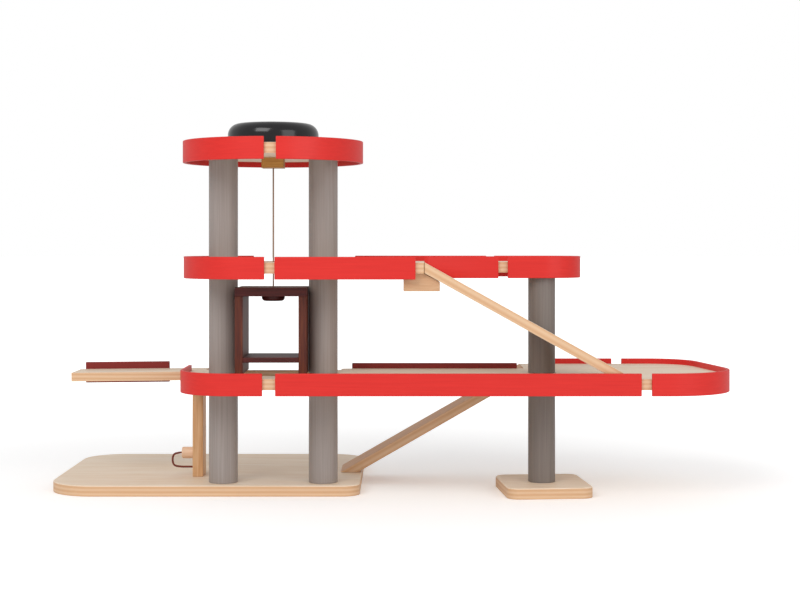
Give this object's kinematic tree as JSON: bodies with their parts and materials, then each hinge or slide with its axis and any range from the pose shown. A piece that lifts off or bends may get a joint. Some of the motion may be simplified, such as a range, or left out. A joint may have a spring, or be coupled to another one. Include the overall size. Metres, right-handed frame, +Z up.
{
  "type": "toy parking garage with lift",
  "caption": "Wooden toy parking garage: decks with red rims on grey columns, joined by ramps, and a lift car raised by a cord and a round black winding knob.",
  "frame": {"origin": "on the lift's axis, at the underside of the base plate", "axes": "+X along the parking deck, +Y to the back, +Z up"},
  "size_m": [0.796, 0.3576, 0.4334],
  "materials": {
    "plywood": "satin",
    "pale_wood": "satin",
    "golden_wood": "satin",
    "grey_paint": "painted satin",
    "red_paint": "painted satin",
    "brown_lacquer": "satin",
    "black_lacquer": "gloss",
    "zinc": "satin",
    "pale_cord": "matte",
    "red_cord": "matte"
  },
  "bodies": {
    "root": {"base_plate": "plywood", "base_screws": "zinc", "bridge_board": "plywood", "bridge_post": "plywood", "bridge_rim": "red_paint", "cord_guide": "golden_wood", "hoist_cord": "pale_cord", "level_one_deck": "plywood", "level_one_dowels": "pale_wood", "level_one_rim_back": "red_paint", "level_one_rim_back_end": "red_paint", "level_one_rim_end": "red_paint", "level_one_rim_front": "red_paint", "level_one_rim_left": "red_paint", "lower_ramp": "plywood", "lower_ramp_cleat": "plywood", "mid_deck": "plywood", "mid_dowels": "pale_wood", "mid_rim_back": "red_paint", "mid_rim_end": "red_paint", "mid_rim_front": "red_paint", "mid_rim_left": "red_paint", "mid_rim_ramp_side": "red_paint", "nozzle_hose": "red_cord", "nozzle_peg": "pale_wood", "outer_column_lower": "grey_paint", "outer_column_upper": "grey_paint", "outer_foot": "plywood", "top_deck": "plywood", "top_dowels": "pale_wood", "top_rim": "red_paint", "tower_column_left_lower": "grey_paint", "tower_column_left_middle": "grey_paint", "tower_column_left_upper": "grey_paint", "tower_column_right_lower": "grey_paint", "tower_column_right_middle": "grey_paint", "tower_column_right_upper": "grey_paint", "upper_ramp": "plywood", "upper_ramp_cleat": "plywood"},
    "lift": {"lift_roof": "brown_lacquer", "lift_side_left": "brown_lacquer", "lift_side_right": "brown_lacquer", "lift_floor": "brown_lacquer", "cord_button": "brown_lacquer"},
    "knob": {"winding_knob": "black_lacquer", "winding_drum": "pale_wood"}
  },
  "joints": [
    {"name": "knob_turn", "type": "hinge", "parent": "root", "child": "knob", "pos_m": [0, 0, 0.4063], "axis": [0, 0, 1], "range_deg": [-745, 740]},
    {"name": "lift_travel", "type": "slide", "parent": "root", "child": "lift", "axis": [0, 0, 1], "range_m": [-0.1288, 0.128], "deforming": ["hoist_cord"]}
  ],
  "couplings": [
    {"joint": "lift_travel", "follows": "knob_turn", "m_per_rad": 0.00985}
  ]
}
